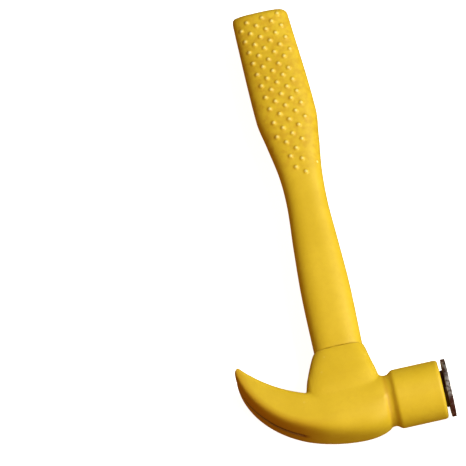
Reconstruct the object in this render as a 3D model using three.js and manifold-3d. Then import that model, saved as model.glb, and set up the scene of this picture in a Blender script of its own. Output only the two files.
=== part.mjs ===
// A small claw hammer with a yellow moulded skin over a steel core and a bolt-on steel striking disc.
// It lies on its side. X runs along the head to the striking face, Y along the handle to the butt,
// Z up through the thickness. The pieces are drawn about the middle of the seam where the handle
// meets the head, and the whole hammer is then moved to stand its box on the origin. Millimetres.

import * as THREE from "three";
import { mergeVertices } from "three/addons/utils/BufferGeometryUtils.js";
import Module from "manifold-3d";

const wasm = await Module();
wasm.setup();

// ---- Driving dimensions -------------------------------------------------------------------------

// Room left between pieces that touch.
const CLEARANCE = 0.3;

// Handle: lengths along Y from the seam, and full widths and thicknesses at each station.
const HANDLE_LENGTH = 193.6;
const SOCKET_END_WIDTH = 24.7;
const SOCKET_END_THICKNESS = 17.0;
const LOWER_HANDLE_AT = 34;
const LOWER_HANDLE_WIDTH = 25.1;
const LOWER_HANDLE_THICKNESS = 17.4;
const TAPER_AT = 60;
const TAPER_WIDTH = 23.1;
const WAIST_AT = 83;
const WAIST_WIDTH = 20.8;
const WAIST_THICKNESS = 15.6;
const GRIP_START_AT = 101;
const GRIP_START_WIDTH = 22.0;
const FLARE_AT = 120;
const FLARE_WIDTH = 27.2;
const SWELL_AT = 135;
const SWELL_WIDTH = 31.1;
const SWELL_THICKNESS = 16.4;
const BUTT_WIDTH = 28.6;
const BUTT_THICKNESS = 12.6;
const BUTT_ROUNDING = 3.4;

// The butt's corner on the claw's side is sharper, by this share of the rounding.
const BUTT_CLAW_CORNER_SHARE = 0.4;

// The centre line bows a little towards the striking face above the waist and back at the butt.
const TAPER_OFFSET = 1.2;
const GRIP_START_OFFSET = 1.8;
const SWELL_OFFSET = 1.1;
const BUTT_OFFSET = -1.0;

// How square the handle's section is: 2 is an ellipse, and more is squarer.
const HANDLE_SQUARENESS = 2.8;

// Grip nubs: low domes in a staggered lattice that leans off the handle's line in its first rows.
// The rows lie closer and tilt a little near the butt. One nub in the butt's corner and a few that
// close the lattice at the waist are set by hand, each with its X and its distance from the butt.
const NUB_DIAMETER = 3.0;
const NUB_HEIGHT = 0.75;
const NUB_ROOT = 0.4;
const NUB_PITCH_ACROSS = 8.2;
const NUB_FIRST_X = 0.1;
const NUB_BUTT_MARGIN = 4.9;
const NUB_CLOSE_ROWS = 15;
const NUB_CLOSE_PITCH = 3.48;
const NUB_CLOSE_MARGIN = 4.05;
const NUB_WIDE_ROWS = 5;
const NUB_WIDE_PITCH = 4.05;
const NUB_WIDE_MARGIN = 5.0;
const NUB_TILT = 0.11;
const NUB_TILTED_ROWS = 8;
const NUB_LEAN_PER_ROW = 0.39;
const NUB_LEANING_ROWS = 16;
const NUBS_BY_HAND = [
  [-11.8, 9.6],
  [2.4, 81.7],
  [-1.3, 85.5],
  [4.2, 88.1],
  [0.2, 92.1],
  [4.6, 95.6],
];

// Head: the claw, the cheeks and the socket.
const CLAW_SHARE = 0.6;
const CLAW_TIP_WIDTH = 23.6;
const CLAW_ROOT_WIDTH = 25.2;
const CHEEK_THICKNESS = 27.2;
const SOCKET_RIM_WIDTH = 25.9;
const SOCKET_RIM_THICKNESS = 18.4;
const SOCKET_RIM_OFFSET = 0.5;
const CLAW_SQUARENESS = 5.0;
const CHEEK_SQUARENESS = 2.2;
const SLOT_ROOT_WIDTH = 1.6;
const SLOT_TIP_WIDTH = 3.6;
const SLOT_ROOT_X = -25;
const SLOT_OPEN_END_X = -60;

// Head: the neck, the poll and the disc, all on one axis along X.
const AXIS_Y = -31.9;
const CHEEK_END_X = 18.2;
const NECK_DIAMETER = 26.0;
const NECK_X = 19.9;
const POLL_DIAMETER = 29.9;
const POLL_START_X = 24.0;
const POLL_FACE_X = 46.9;
const POLL_ROUNDING = 1.5;
const DISC_DIAMETER = 29.3;
const DISC_THICKNESS = 2.3;
const DISC_CHAMFER = 0.4;
const SPACER_LIP = 0.35;
const SPACER_THICKNESS = 1.0;
const SCREW_DIAMETER = 6.0;
const SCREW_HEAD_DIAMETER = 9.6;
const SCREW_LENGTH = 18.0;
const SCREW_SOCKET_ACROSS_CORNERS = 4.6;
const SCREW_SOCKET_DEPTH = 2.2;
const SCREW_TIP_CHAMFER = 0.8;
const SCREW_RECESS = 0.2;

// Side outline of the claw and cheeks: the inner line under the handle and the outer line over the
// crown. Each is two curves of four points, which meet where the claw leaves the cheek.
const INNER_CLAW_CURVE = [[-50.3, -0.8], [-44.5, -6.8], [-34.6, -16.0], [-20.2, -21.2]];
const INNER_CHEEK_CURVE = [[-20.2, -21.2], [-12, -24.2], [6, -19], [17.8, -18.6]];
const OUTER_CLAW_CURVE = [[-52.9, -3.0], [-52.1, -19.9], [-39.8, -32.9], [-27.0, -39.6]];
const OUTER_CHEEK_CURVE = [[-27.0, -39.6], [-14.9, -46.0], [8.4, -51.9], [17.8, -45.4]];

// Socket: the places of its two sides along X, its thickness and how square it is, at each depth
// below the rim.
const SOCKET_STATIONS = [
  {
    depth: 0,
    left: SOCKET_RIM_OFFSET - SOCKET_RIM_WIDTH / 2,
    right: SOCKET_RIM_OFFSET + SOCKET_RIM_WIDTH / 2,
    thickness: SOCKET_RIM_THICKNESS,
    squareness: 3.6,
  },
  { depth: 2.5, left: -13.8, right: 14.0, thickness: 19.4, squareness: 4.0 },
  { depth: 10, left: -16.8, right: 15.4, thickness: 22.4, squareness: 5.0 },
  { depth: 18, left: -19.4, right: 17.0, thickness: 24.8, squareness: 5.6 },
  { depth: 26, left: -20.2, right: 17.5, thickness: 25.2, squareness: 5.0 },
  { depth: 38, left: -12, right: 14, thickness: 20, squareness: 4.0 },
];

// Steel inside the skin. The nose runs along the poll's axis, and the block holds the eye.
const SKIN_THICKNESS = 3.2;
const NOSE_DIAMETER = 18.0;
const NOSE_START_X = -8.0;
const EYE_BLOCK_WIDTH = 20.0;
const EYE_BLOCK_THICKNESS = 15.0;
const EYE_BLOCK_TOP_Y = -7.0;
const EYE_BLOCK_BOTTOM_Y = -40.0;
const CORE_SQUARENESS = 4;
const TANG_WIDTH = 12.6;
const TANG_THICKNESS = 7.0;
const TANG_END_Y = -37.0;
const CORE_BUTT_GAP = 10.0;
const TANG_PIN_DIAMETER = 4.0;
const TANG_PIN_UPPER_Y = -12.0;
const TANG_PIN_LOWER_Y = -21.0;
const TINE_TIP_SHARE = 0.3;
const TINE_ROOT_SHARE = 0.8;

// How far a cutting shape runs past the face it cuts, and the length of one that cuts right through.
const OVERRUN = 1;
const THROUGH = 60;

// ---- Materials ----------------------------------------------------------------------------------

const yellowPlastic = { color: 0xe3bd29, roughness: 0.48, metalness: 0.0 };
const forgedSteel = { color: 0x5c5a58, roughness: 0.6, metalness: 0.9 };
const wornSteel = { color: 0x8d8983, roughness: 0.42, metalness: 0.95 };
const redFibre = { color: 0x5a2a1c, roughness: 0.75, metalness: 0.0 };

// ---- Solids and meshes --------------------------------------------------------------------------

// Turns a closed geometry into a solid that can be joined and cut.
function solid(geometry) {
  const bare = geometry.clone();
  bare.deleteAttribute("normal");
  bare.deleteAttribute("uv");
  const merged = mergeVertices(bare, 1e-4);
  return new wasm.Manifold(
    new wasm.Mesh({
      numProp: 3,
      vertProperties: merged.attributes.position.array,
      triVerts: new Uint32Array(merged.index.array),
    }),
  );
}

// Gives a solid its name and material as a mesh.
function piece(name, shape, look) {
  const mesh = shape.getMesh();
  const geometry = new THREE.BufferGeometry();
  geometry.setAttribute("position", new THREE.BufferAttribute(mesh.vertProperties, 3));
  geometry.setIndex(new THREE.BufferAttribute(mesh.triVerts, 1));
  geometry.computeVertexNormals();
  const made = new THREE.Mesh(geometry, new THREE.MeshStandardMaterial(look));
  made.name = name;
  return made;
}

// A closed skin over a row of stations, shaped from a cylinder. placeAt(t, angle, outward) gives a
// point of the station at share t of the way, from 0 to 1. outward is 0 in the middle of an end.
function skin(stations, sides, placeAt) {
  const geometry = new THREE.CylinderGeometry(1, 1, 1, sides, stations);
  const position = geometry.attributes.position;
  const point = new THREE.Vector3();
  const sideAngle = (2 * Math.PI) / sides;
  for (let i = 0; i < position.count; i++) {
    point.fromBufferAttribute(position, i);
    const side = Math.round(Math.atan2(point.z, point.x) / sideAngle);
    const station = Math.round((point.y + 0.5) * stations);
    const onAxis = Math.hypot(point.x, point.z) < 0.5;
    const placed = placeAt(station / stations, side * sideAngle, onAxis ? 0 : 1);
    position.setXYZ(i, placed.x, placed.y, placed.z);
  }
  return solid(geometry);
}

// A point of a rounded rectangle: 1 across at angle 0 and 1 up at a quarter turn.
function roundedPoint(angle, squareness) {
  const across = Math.cos(angle);
  const up = Math.sin(angle);
  return {
    across: Math.sign(across) * Math.abs(across) ** (2 / squareness),
    up: Math.sign(up) * Math.abs(up) ** (2 / squareness),
  };
}

// A smooth line of sizes along the handle or head, through [place, size] pairs.
function sizesThrough(pairs) {
  const places = pairs.map(([place]) => place);
  const slopes = pairs.map((_, i) => {
    const before = pairs[Math.max(i - 1, 0)];
    const after = pairs[Math.min(i + 1, pairs.length - 1)];
    return (after[1] - before[1]) / (after[0] - before[0]);
  });
  return (place) => {
    const last = pairs.length - 2;
    const found = places.findIndex((_, i) => i <= last && place <= places[i + 1]);
    const i = found < 0 ? last : found;
    const span = places[i + 1] - places[i];
    const t = THREE.MathUtils.clamp((place - places[i]) / span, 0, 1);
    return (
      (1 + 2 * t) * (1 - t) ** 2 * pairs[i][1] +
      t * (1 - t) ** 2 * span * slopes[i] +
      t ** 2 * (3 - 2 * t) * pairs[i + 1][1] -
      t ** 2 * (1 - t) * span * slopes[i + 1]
    );
  };
}

// A turned piece: its profile of [x, radius] points is spun about the poll's axis.
function turned(profile, segments) {
  const points = profile.map(([x, radius]) => new THREE.Vector2(radius, x));
  const geometry = new THREE.LatheGeometry(points, segments);
  geometry.rotateZ(-Math.PI / 2);
  geometry.translate(0, AXIS_Y, 0);
  return solid(geometry);
}

// Part of a turned profile: a soft S from one [x, radius] point to another.
function easedStep(fromX, fromRadius, toX, toRadius) {
  const steps = 5;
  return Array.from({ length: steps + 1 }, (_, i) => {
    const share = i / steps;
    const eased = (1 - Math.cos(Math.PI * share)) / 2;
    return [fromX + (toX - fromX) * share, fromRadius + (toRadius - fromRadius) * eased];
  });
}

// Part of a turned profile: a quarter round where the side meets a flat end at x.
function roundedEnd(x, radius, rounding) {
  const steps = 3;
  return Array.from({ length: steps + 1 }, (_, i) => {
    const turn = (i / steps) * (Math.PI / 2);
    return [x - rounding * (1 - Math.sin(turn)), radius - rounding * (1 - Math.cos(turn))];
  });
}

// ---- Handle -------------------------------------------------------------------------------------

const handleWidth = sizesThrough([
  [0, SOCKET_END_WIDTH],
  [LOWER_HANDLE_AT, LOWER_HANDLE_WIDTH],
  [TAPER_AT, TAPER_WIDTH],
  [WAIST_AT, WAIST_WIDTH],
  [GRIP_START_AT, GRIP_START_WIDTH],
  [FLARE_AT, FLARE_WIDTH],
  [SWELL_AT, SWELL_WIDTH],
  [HANDLE_LENGTH, BUTT_WIDTH],
]);
const handleThickness = sizesThrough([
  [0, SOCKET_END_THICKNESS],
  [LOWER_HANDLE_AT, LOWER_HANDLE_THICKNESS],
  [WAIST_AT, WAIST_THICKNESS],
  [SWELL_AT, SWELL_THICKNESS],
  [HANDLE_LENGTH, BUTT_THICKNESS],
]);
const handleCentre = sizesThrough([
  [0, SOCKET_RIM_OFFSET],
  [TAPER_AT, TAPER_OFFSET],
  [GRIP_START_AT, GRIP_START_OFFSET],
  [SWELL_AT, SWELL_OFFSET],
  [HANDLE_LENGTH, BUTT_OFFSET],
]);

// How far the outline is drawn in near the rounded butt edge.
function buttInset(y) {
  const into = y - (HANDLE_LENGTH - BUTT_ROUNDING);
  if (into <= 0) return 0;
  return BUTT_ROUNDING - Math.sqrt(BUTT_ROUNDING ** 2 - Math.min(into, BUTT_ROUNDING) ** 2);
}

// Height of the handle's broad face above the middle plane.
function broadFaceHeight(x, y) {
  const across = Math.min(Math.abs((2 * (x - handleCentre(y))) / handleWidth(y)), 1);
  const up = (1 - across ** HANDLE_SQUARENESS) ** (1 / HANDLE_SQUARENESS);
  return (handleThickness(y) / 2) * up;
}

function handleBody() {
  const straightStations = 22;
  const roundStations = 4;
  const start = CLEARANCE / 2;
  const straightEnd = HANDLE_LENGTH - BUTT_ROUNDING;
  return skin(straightStations + roundStations, 28, (t, angle, outward) => {
    const step = Math.round(t * (straightStations + roundStations));
    const turn = (Math.max(step - straightStations, 0) / roundStations) * 0.92 * (Math.PI / 2);
    const y =
      step <= straightStations
        ? start + ((straightEnd - start) * step) / straightStations
        : straightEnd + BUTT_ROUNDING * Math.sin(turn);
    const inset = buttInset(y);
    const { across, up } = roundedPoint(angle, HANDLE_SQUARENESS);
    const corner = across < 0 ? inset * BUTT_CLAW_CORNER_SHARE : inset;
    const halfWidth = handleWidth(y) / 2 - corner;
    const halfThickness = handleThickness(y) / 2 - inset;
    return {
      x: handleCentre(y) + outward * across * halfWidth,
      y,
      z: outward * up * halfThickness,
    };
  });
}

// One low dome, sunk a little into the face it stands on.
function nub(x, y, side) {
  const radius = NUB_DIAMETER / 2;
  const profile = [
    [0, -NUB_ROOT],
    [radius, -NUB_ROOT],
    [radius * 0.6, NUB_HEIGHT * 0.85],
    [0, NUB_HEIGHT],
  ];
  const geometry = new THREE.LatheGeometry(
    profile.map(([r, height]) => new THREE.Vector2(r, height)),
    6,
  );
  geometry.rotateX((side * Math.PI) / 2);
  geometry.translate(x, y, side * broadFaceHeight(x, y));
  return solid(geometry);
}

// Places of the nubs on one face: rows across the grip, each shifted half a pitch from the last.
function nubPlaces() {
  const places = NUBS_BY_HAND.map(([x, fromButt]) => [x, HANDLE_LENGTH - fromButt]);
  for (let row = 0; row <= NUB_CLOSE_ROWS + NUB_WIDE_ROWS; row++) {
    const closeRows = Math.min(row, NUB_CLOSE_ROWS);
    const drop = closeRows * NUB_CLOSE_PITCH + (row - closeRows) * NUB_WIDE_PITCH;
    const rowY = HANDLE_LENGTH - NUB_BUTT_MARGIN - drop;
    const margin = row > NUB_CLOSE_ROWS ? NUB_WIDE_MARGIN : NUB_CLOSE_MARGIN;
    const reach = handleWidth(rowY) / 2 - margin;
    const lean = NUB_LEAN_PER_ROW * Math.min(row, NUB_LEANING_ROWS);
    const shift = (row % 2) * (NUB_PITCH_ACROSS / 2);
    const tilt = NUB_TILT * Math.max(1 - row / NUB_TILTED_ROWS, 0);
    for (let column = -4; column <= 4; column++) {
      const x = NUB_FIRST_X + lean + shift + column * NUB_PITCH_ACROSS;
      if (Math.abs(x - handleCentre(rowY)) < reach) places.push([x, rowY + tilt * x]);
    }
  }
  return places;
}

// The steel bar inside the handle, with its tang in the head. Grown by the clearance, it is its bore.
function coreBar(grow, fromY, toY) {
  return skin(12, 16, (t, angle, outward) => {
    const y = fromY + (toY - fromY) * t;
    const { across, up } = roundedPoint(angle, CORE_SQUARENESS);
    return {
      x: handleCentre(Math.max(y, 0)) + outward * across * (TANG_WIDTH / 2 + grow),
      y,
      z: outward * up * (TANG_THICKNESS / 2 + grow),
    };
  });
}

const coreEndY = HANDLE_LENGTH - CORE_BUTT_GAP;

function handleJacket() {
  let shape = handleBody();
  for (const side of [1, -1]) {
    for (const [x, y] of nubPlaces()) shape = shape.add(nub(x, y, side));
  }
  return shape.subtract(coreBar(CLEARANCE, -OVERRUN, coreEndY + CLEARANCE));
}

// ---- Head ---------------------------------------------------------------------------------------

function bezier(points) {
  const [a, b, c, d] = points.map(([x, y]) => new THREE.Vector2(x, y));
  return new THREE.CubicBezierCurve(a, b, c, d);
}

// A line of two curves. The claw takes its share of the way from 0, at the tip, to 1, at the neck.
function outline(clawPoints, cheekPoints) {
  const claw = bezier(clawPoints);
  const cheek = bezier(cheekPoints);
  return (t) =>
    t <= CLAW_SHARE
      ? claw.getPoint(t / CLAW_SHARE)
      : cheek.getPoint((t - CLAW_SHARE) / (1 - CLAW_SHARE));
}

const innerLine = outline(INNER_CLAW_CURVE, INNER_CHEEK_CURVE);
const outerLine = outline(OUTER_CLAW_CURVE, OUTER_CHEEK_CURVE);
const sharePerMillimetre = CLAW_SHARE / bezier(OUTER_CLAW_CURVE).getLength();

const headWidth = sizesThrough([
  [0, CLAW_TIP_WIDTH],
  [CLAW_SHARE, CLAW_ROOT_WIDTH],
  [0.85, CHEEK_THICKNESS],
  [1, CHEEK_THICKNESS],
]);
const headSquareness = sizesThrough([
  [0, CLAW_SQUARENESS],
  [CLAW_SHARE, CLAW_SQUARENESS],
  [0.8, 3.0],
  [1, CHEEK_SQUARENESS],
]);

// The claw and cheeks, drawn in by inset on every side, from one share of the outline to another.
function clawAndCheeks(inset, from, to, stations, sides) {
  return skin(stations, sides, (share, angle, outward) => {
    const t = from + (to - from) * share;
    const inner = innerLine(t);
    const outer = outerLine(t);
    const middle = inner.clone().add(outer).multiplyScalar(0.5);
    const half = outer.clone().sub(inner).multiplyScalar(0.5);
    const height = Math.max(half.length() - inset, 0.5);
    half.setLength(height);
    const { across, up } = roundedPoint(angle, headSquareness(t));
    return {
      x: middle.x + outward * across * half.x,
      y: middle.y + outward * across * half.y,
      z: outward * up * (headWidth(t) / 2 - inset),
    };
  });
}

const socketLeft = sizesThrough(SOCKET_STATIONS.map(({ depth, left }) => [depth, left]));
const socketRight = sizesThrough(SOCKET_STATIONS.map(({ depth, right }) => [depth, right]));
const socketThickness = sizesThrough(
  SOCKET_STATIONS.map(({ depth, thickness }) => [depth, thickness]),
);
const socketSquareness = sizesThrough(
  SOCKET_STATIONS.map(({ depth, squareness }) => [depth, squareness]),
);

// The socket, from the crisp rim at the handle down into the cheeks.
function socketBlock() {
  const depth = SOCKET_STATIONS.at(-1).depth;
  const stationCrowding = 1.3;
  return skin(14, 28, (t, angle, outward) => {
    const down = depth * (1 - t) ** stationCrowding;
    const { across, up } = roundedPoint(angle, socketSquareness(down));
    const left = socketLeft(down);
    const right = socketRight(down);
    return {
      x: (left + right) / 2 + (outward * across * (right - left)) / 2,
      y: -CLEARANCE / 2 - down,
      z: outward * up * (socketThickness(down) / 2),
    };
  });
}

function neckAndPoll() {
  const neck = NECK_DIAMETER / 2;
  const poll = POLL_DIAMETER / 2;
  const cheekEnd = CHEEK_THICKNESS / 2 - 0.2;
  const buriedX = 5;
  const cheekRoundingX = CHEEK_END_X - 1.6;
  const neckFlat = 0.4;
  const profile = [
    [buriedX, 0],
    [buriedX, neck],
    ...easedStep(cheekRoundingX, cheekEnd, NECK_X, neck),
    ...easedStep(NECK_X + neckFlat, neck, POLL_START_X, poll),
    ...roundedEnd(POLL_FACE_X, poll, POLL_ROUNDING),
    [POLL_FACE_X, 0],
  ];
  return turned(profile, 36);
}

// The wedge of space between the two claws, wider at the tips, grown by extra on every side.
function clawSlot(extra) {
  const root = SLOT_ROOT_WIDTH / 2 + extra;
  const mouth = SLOT_TIP_WIDTH / 2 + extra;
  const shape = new THREE.Shape([
    new THREE.Vector2(SLOT_ROOT_X + extra, root),
    new THREE.Vector2(SLOT_OPEN_END_X, mouth),
    new THREE.Vector2(SLOT_OPEN_END_X, -mouth),
    new THREE.Vector2(SLOT_ROOT_X + extra, -root),
  ]);
  const geometry = new THREE.ExtrudeGeometry(shape, { depth: THROUGH, bevelEnabled: false });
  geometry.rotateX(Math.PI / 2);
  geometry.translate(0, OVERRUN, 0);
  return solid(geometry);
}

// A round bar along Z through the tang, for a pin.
function crossBar(y, diameter, length) {
  const geometry = new THREE.CylinderGeometry(diameter / 2, diameter / 2, length, 20);
  geometry.rotateX(Math.PI / 2);
  geometry.translate(SOCKET_RIM_OFFSET, y, 0);
  return solid(geometry);
}

// The hole for a tang pin, through the forging and the tang.
function pinHole(y) {
  return crossBar(y, TANG_PIN_DIAMETER + 2 * CLEARANCE, THROUGH);
}

// The forging inside the head: a round nose, a block with the eye, and a tine in each claw. Grown by
// the clearance, it is the room for itself in the skin.
function headForging(grow) {
  const nose = turned(
    [
      [NOSE_START_X - grow, 0],
      [NOSE_START_X - grow, NOSE_DIAMETER / 2 + grow],
      [POLL_FACE_X + grow, NOSE_DIAMETER / 2 + grow],
      [POLL_FACE_X + grow, 0],
    ],
    28,
  );
  const block = new THREE.BoxGeometry(
    EYE_BLOCK_WIDTH + 2 * grow,
    EYE_BLOCK_TOP_Y - EYE_BLOCK_BOTTOM_Y + 2 * grow,
    EYE_BLOCK_THICKNESS + 2 * grow,
  );
  block.translate(SOCKET_RIM_OFFSET, (EYE_BLOCK_TOP_Y + EYE_BLOCK_BOTTOM_Y) / 2, 0);
  const tineTip = TINE_TIP_SHARE - grow * sharePerMillimetre;
  const tineRoot = TINE_ROOT_SHARE + grow * sharePerMillimetre;
  const tines = clawAndCheeks(SKIN_THICKNESS - grow, tineTip, tineRoot, 12, 16);
  const gapBetweenTines = clawSlot(SKIN_THICKNESS - grow);
  return tines.subtract(gapBetweenTines).add(nose).add(solid(block));
}

const spacerBackX = POLL_FACE_X + CLEARANCE;
const discBackX = spacerBackX + SPACER_THICKNESS + CLEARANCE;
const discFrontX = discBackX + DISC_THICKNESS;
const screwFrontX = discFrontX - SCREW_RECESS;
const screwSink = (SCREW_HEAD_DIAMETER - SCREW_DIAMETER) / 2;

function headJacket() {
  const outside = clawAndCheeks(0, 0, 1, 30, 28).add(socketBlock()).add(neckAndPoll());
  return outside
    .subtract(clawSlot(0))
    .subtract(headForging(CLEARANCE))
    .subtract(coreBar(CLEARANCE, EYE_BLOCK_TOP_Y - OVERRUN, OVERRUN));
}

// Room for the disc screw, with its countersink, through the disc and spacer and into the forging.
function screwRoom() {
  const bore = SCREW_DIAMETER / 2 + CLEARANCE;
  const sunk = SCREW_HEAD_DIAMETER / 2 + CLEARANCE;
  const innerEndX = screwFrontX - SCREW_LENGTH - OVERRUN;
  return turned(
    [
      [innerEndX, 0],
      [innerEndX, bore],
      [screwFrontX - screwSink, bore],
      [screwFrontX, sunk],
      [discFrontX + OVERRUN, sunk],
      [discFrontX + OVERRUN, 0],
    ],
    28,
  );
}

function headCore() {
  return headForging(0)
    .subtract(coreBar(CLEARANCE, TANG_END_Y - CLEARANCE, OVERRUN))
    .subtract(pinHole(TANG_PIN_UPPER_Y))
    .subtract(pinHole(TANG_PIN_LOWER_Y))
    .subtract(screwRoom());
}

function handleCore() {
  return coreBar(0, TANG_END_Y, coreEndY)
    .subtract(pinHole(TANG_PIN_UPPER_Y))
    .subtract(pinHole(TANG_PIN_LOWER_Y));
}

// ---- Striking disc ------------------------------------------------------------------------------

function strikeDisc() {
  const rim = DISC_DIAMETER / 2;
  const disc = turned(
    [
      [discBackX, 0],
      [discBackX, rim - DISC_CHAMFER],
      [discBackX + DISC_CHAMFER, rim],
      [discFrontX - DISC_CHAMFER, rim],
      [discFrontX, rim - DISC_CHAMFER],
      [discFrontX, 0],
    ],
    48,
  );
  return disc.subtract(screwRoom());
}

function discSpacer() {
  const rim = NOSE_DIAMETER / 2 + SPACER_LIP;
  const frontX = spacerBackX + SPACER_THICKNESS;
  const ring = turned([[spacerBackX, 0], [spacerBackX, rim], [frontX, rim], [frontX, 0]], 36);
  return ring.subtract(screwRoom());
}

function discScrew() {
  const shank = SCREW_DIAMETER / 2;
  const head = SCREW_HEAD_DIAMETER / 2;
  const innerEndX = screwFrontX - SCREW_LENGTH;
  const body = turned(
    [
      [innerEndX, 0],
      [innerEndX, shank - SCREW_TIP_CHAMFER],
      [innerEndX + SCREW_TIP_CHAMFER, shank],
      [screwFrontX - screwSink, shank],
      [screwFrontX, head],
      [screwFrontX, 0],
    ],
    24,
  );
  const corner = SCREW_SOCKET_ACROSS_CORNERS / 2;
  const socket = turned(
    [
      [screwFrontX - SCREW_SOCKET_DEPTH, 0],
      [screwFrontX - SCREW_SOCKET_DEPTH, corner],
      [screwFrontX + OVERRUN, corner],
      [screwFrontX + OVERRUN, 0],
    ],
    6,
  );
  return body.subtract(socket);
}

// ---- The hammer ---------------------------------------------------------------------------------

const hammer = new THREE.Group();
const tangPinLength = EYE_BLOCK_THICKNESS;
hammer.add(
  piece("handle_jacket", handleJacket(), yellowPlastic),
  piece("handle_core", handleCore(), forgedSteel),
  piece("head_jacket", headJacket(), yellowPlastic),
  piece("head_core", headCore(), forgedSteel),
  piece("tang_pin_upper", crossBar(TANG_PIN_UPPER_Y, TANG_PIN_DIAMETER, tangPinLength), wornSteel),
  piece("tang_pin_lower", crossBar(TANG_PIN_LOWER_Y, TANG_PIN_DIAMETER, tangPinLength), wornSteel),
  piece("disc_spacer", discSpacer(), redFibre),
  piece("strike_disc", strikeDisc(), wornSteel),
  piece("disc_screw", discScrew(), wornSteel),
);

// Stand the bounding box on the origin, with its middle over it.
const box = new THREE.Box3().setFromObject(hammer, true);
const middle = box.getCenter(new THREE.Vector3());
hammer.position.set(-middle.x, -middle.y, -box.min.z);

const root = new THREE.Group();
root.add(hammer);

export default root;
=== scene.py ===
import math

import bmesh
import bpy
from mathutils import Matrix, Vector


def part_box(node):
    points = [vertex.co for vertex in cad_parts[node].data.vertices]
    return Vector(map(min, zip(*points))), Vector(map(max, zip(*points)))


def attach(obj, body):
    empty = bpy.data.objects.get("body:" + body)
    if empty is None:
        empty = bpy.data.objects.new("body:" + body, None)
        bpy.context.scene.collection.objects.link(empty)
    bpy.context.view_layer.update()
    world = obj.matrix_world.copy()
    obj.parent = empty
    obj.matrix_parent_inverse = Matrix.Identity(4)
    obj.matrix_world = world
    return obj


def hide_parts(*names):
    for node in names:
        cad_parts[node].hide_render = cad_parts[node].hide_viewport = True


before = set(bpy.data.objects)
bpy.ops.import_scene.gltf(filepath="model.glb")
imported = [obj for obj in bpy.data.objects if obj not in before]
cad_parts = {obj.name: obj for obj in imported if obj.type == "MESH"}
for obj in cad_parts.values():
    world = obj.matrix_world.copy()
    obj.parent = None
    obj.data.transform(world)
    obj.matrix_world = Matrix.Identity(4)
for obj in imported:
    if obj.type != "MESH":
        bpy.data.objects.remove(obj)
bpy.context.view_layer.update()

# ---- Where the hammer lies -----------------------------------------------------------------------
# The hammer lies on its side: X runs along the head to the striking face, Y up the handle to the
# butt and Z through the thickness. Shapes are drawn in millimetres about the middle of the seam
# between head and handle, which stands half a millimetre nearer the claw than the tang pins do.
MM = 0.001
PINS_FROM_MIDDLE = 0.5
pin_low, pin_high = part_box("tang_pin_upper")
disc_low, disc_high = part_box("strike_disc")
handle_low, handle_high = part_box("handle_jacket")
head_low, head_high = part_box("head_jacket")
seam = Vector((
    (pin_low.x + pin_high.x) / 2 - PINS_FROM_MIDDLE * MM,
    (handle_low.y + head_high.y) / 2,
    (disc_low.z + disc_high.z) / 2,
))
axis_y = ((disc_low.y + disc_high.y) / 2 - seam.y) / MM
handle_length = (handle_high.y - seam.y) / MM

# ---- Table, camera and lights --------------------------------------------------------------------
# A pale table, seen from well above and a little from the crown side. The picture is turned so that
# the handle leans to the left. A large soft lamp stands over the striking end, a second one low beside
# the crown, and a weak warm one on the claw's side.
ELEVATION = math.radians(65)
ROLL = math.radians(12.6)
CAMERA_DISTANCE = 3.6
LENS = 556.2
SEAM_RIGHT_OF_MIDDLE = 52.5 * MM
SEAM_BELOW_MIDDLE = 59.75 * MM
SENSOR_WIDTH = 36
SEEN_TO = 20

toward = Vector((0, -math.cos(ELEVATION), math.sin(ELEVATION)))
level = Vector((1, 0, 0))
upward = toward.cross(level)
right = math.cos(ROLL) * level - math.sin(ROLL) * upward
above = math.sin(ROLL) * level + math.cos(ROLL) * upward
camera_data = bpy.data.cameras.new("camera")
camera_data.lens = LENS
camera_data.sensor_width = SENSOR_WIDTH
camera_data.clip_end = SEEN_TO
camera = bpy.data.objects.new("camera", camera_data)
turn = Matrix((right, above, toward)).transposed().to_4x4()
eye = seam + CAMERA_DISTANCE * toward - SEAM_RIGHT_OF_MIDDLE * right + SEAM_BELOW_MIDDLE * above
camera.matrix_world = Matrix.Translation(eye) @ turn
bpy.context.scene.collection.objects.link(camera)
bpy.context.scene.camera = camera


def soft_lamp(name, direction, distance, size, power, color):
    """A square area lamp that looks at the hammer from one direction."""
    data = bpy.data.lights.new(name, "AREA")
    data.size = size
    data.energy = power
    data.color = color
    lamp = bpy.data.objects.new(name, data)
    away = Vector(direction).normalized()
    lamp.matrix_world = (
        Matrix.Translation(seam + away * distance) @ away.to_track_quat("Z", "Y").to_matrix().to_4x4()
    )
    bpy.context.scene.collection.objects.link(lamp)


KEY_DIRECTION = (0.62, 0.02, 0.78)
soft_lamp("key", KEY_DIRECTION, 1.6, 0.7, 22.5, (1.0, 0.985, 0.96))
soft_lamp("soft_front", (0.70, -0.58, 0.42), 1.6, 1.0, 14.0, (1.0, 0.98, 0.95))
soft_lamp("warm_fill", (-0.9, -0.35, 0.30), 1.2, 0.8, 2.2, (1.0, 0.50, 0.12))

# The room is soft white on the lamp's side and a dim warm orange on the far side.
FAR_SIDE_ORANGE = (0.21, 0.065, 0.006, 1)
BETWEEN_TAN = (0.17, 0.10, 0.035, 1)
LAMP_SIDE_WHITE = (0.24, 0.23, 0.21, 1)
world = bpy.data.worlds.new("studio")
world.use_nodes = True
room = world.node_tree
direction = room.nodes.new("ShaderNodeTexCoord").outputs["Generated"]
facing = room.nodes.new("ShaderNodeVectorMath")
facing.operation = "DOT_PRODUCT"
facing.inputs[1].default_value = Vector(KEY_DIRECTION).normalized()
room.links.new(direction, facing.inputs[0])
ramp = room.nodes.new("ShaderNodeValToRGB")
ramp.color_ramp.elements[0].position = 0.15
ramp.color_ramp.elements[0].color = FAR_SIDE_ORANGE
ramp.color_ramp.elements[1].position = 0.95
ramp.color_ramp.elements[1].color = LAMP_SIDE_WHITE
middle_stop = ramp.color_ramp.elements.new(0.45)
middle_stop.color = BETWEEN_TAN
spread = room.nodes.new("ShaderNodeMapRange")
spread.inputs["From Min"].default_value = -1
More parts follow.
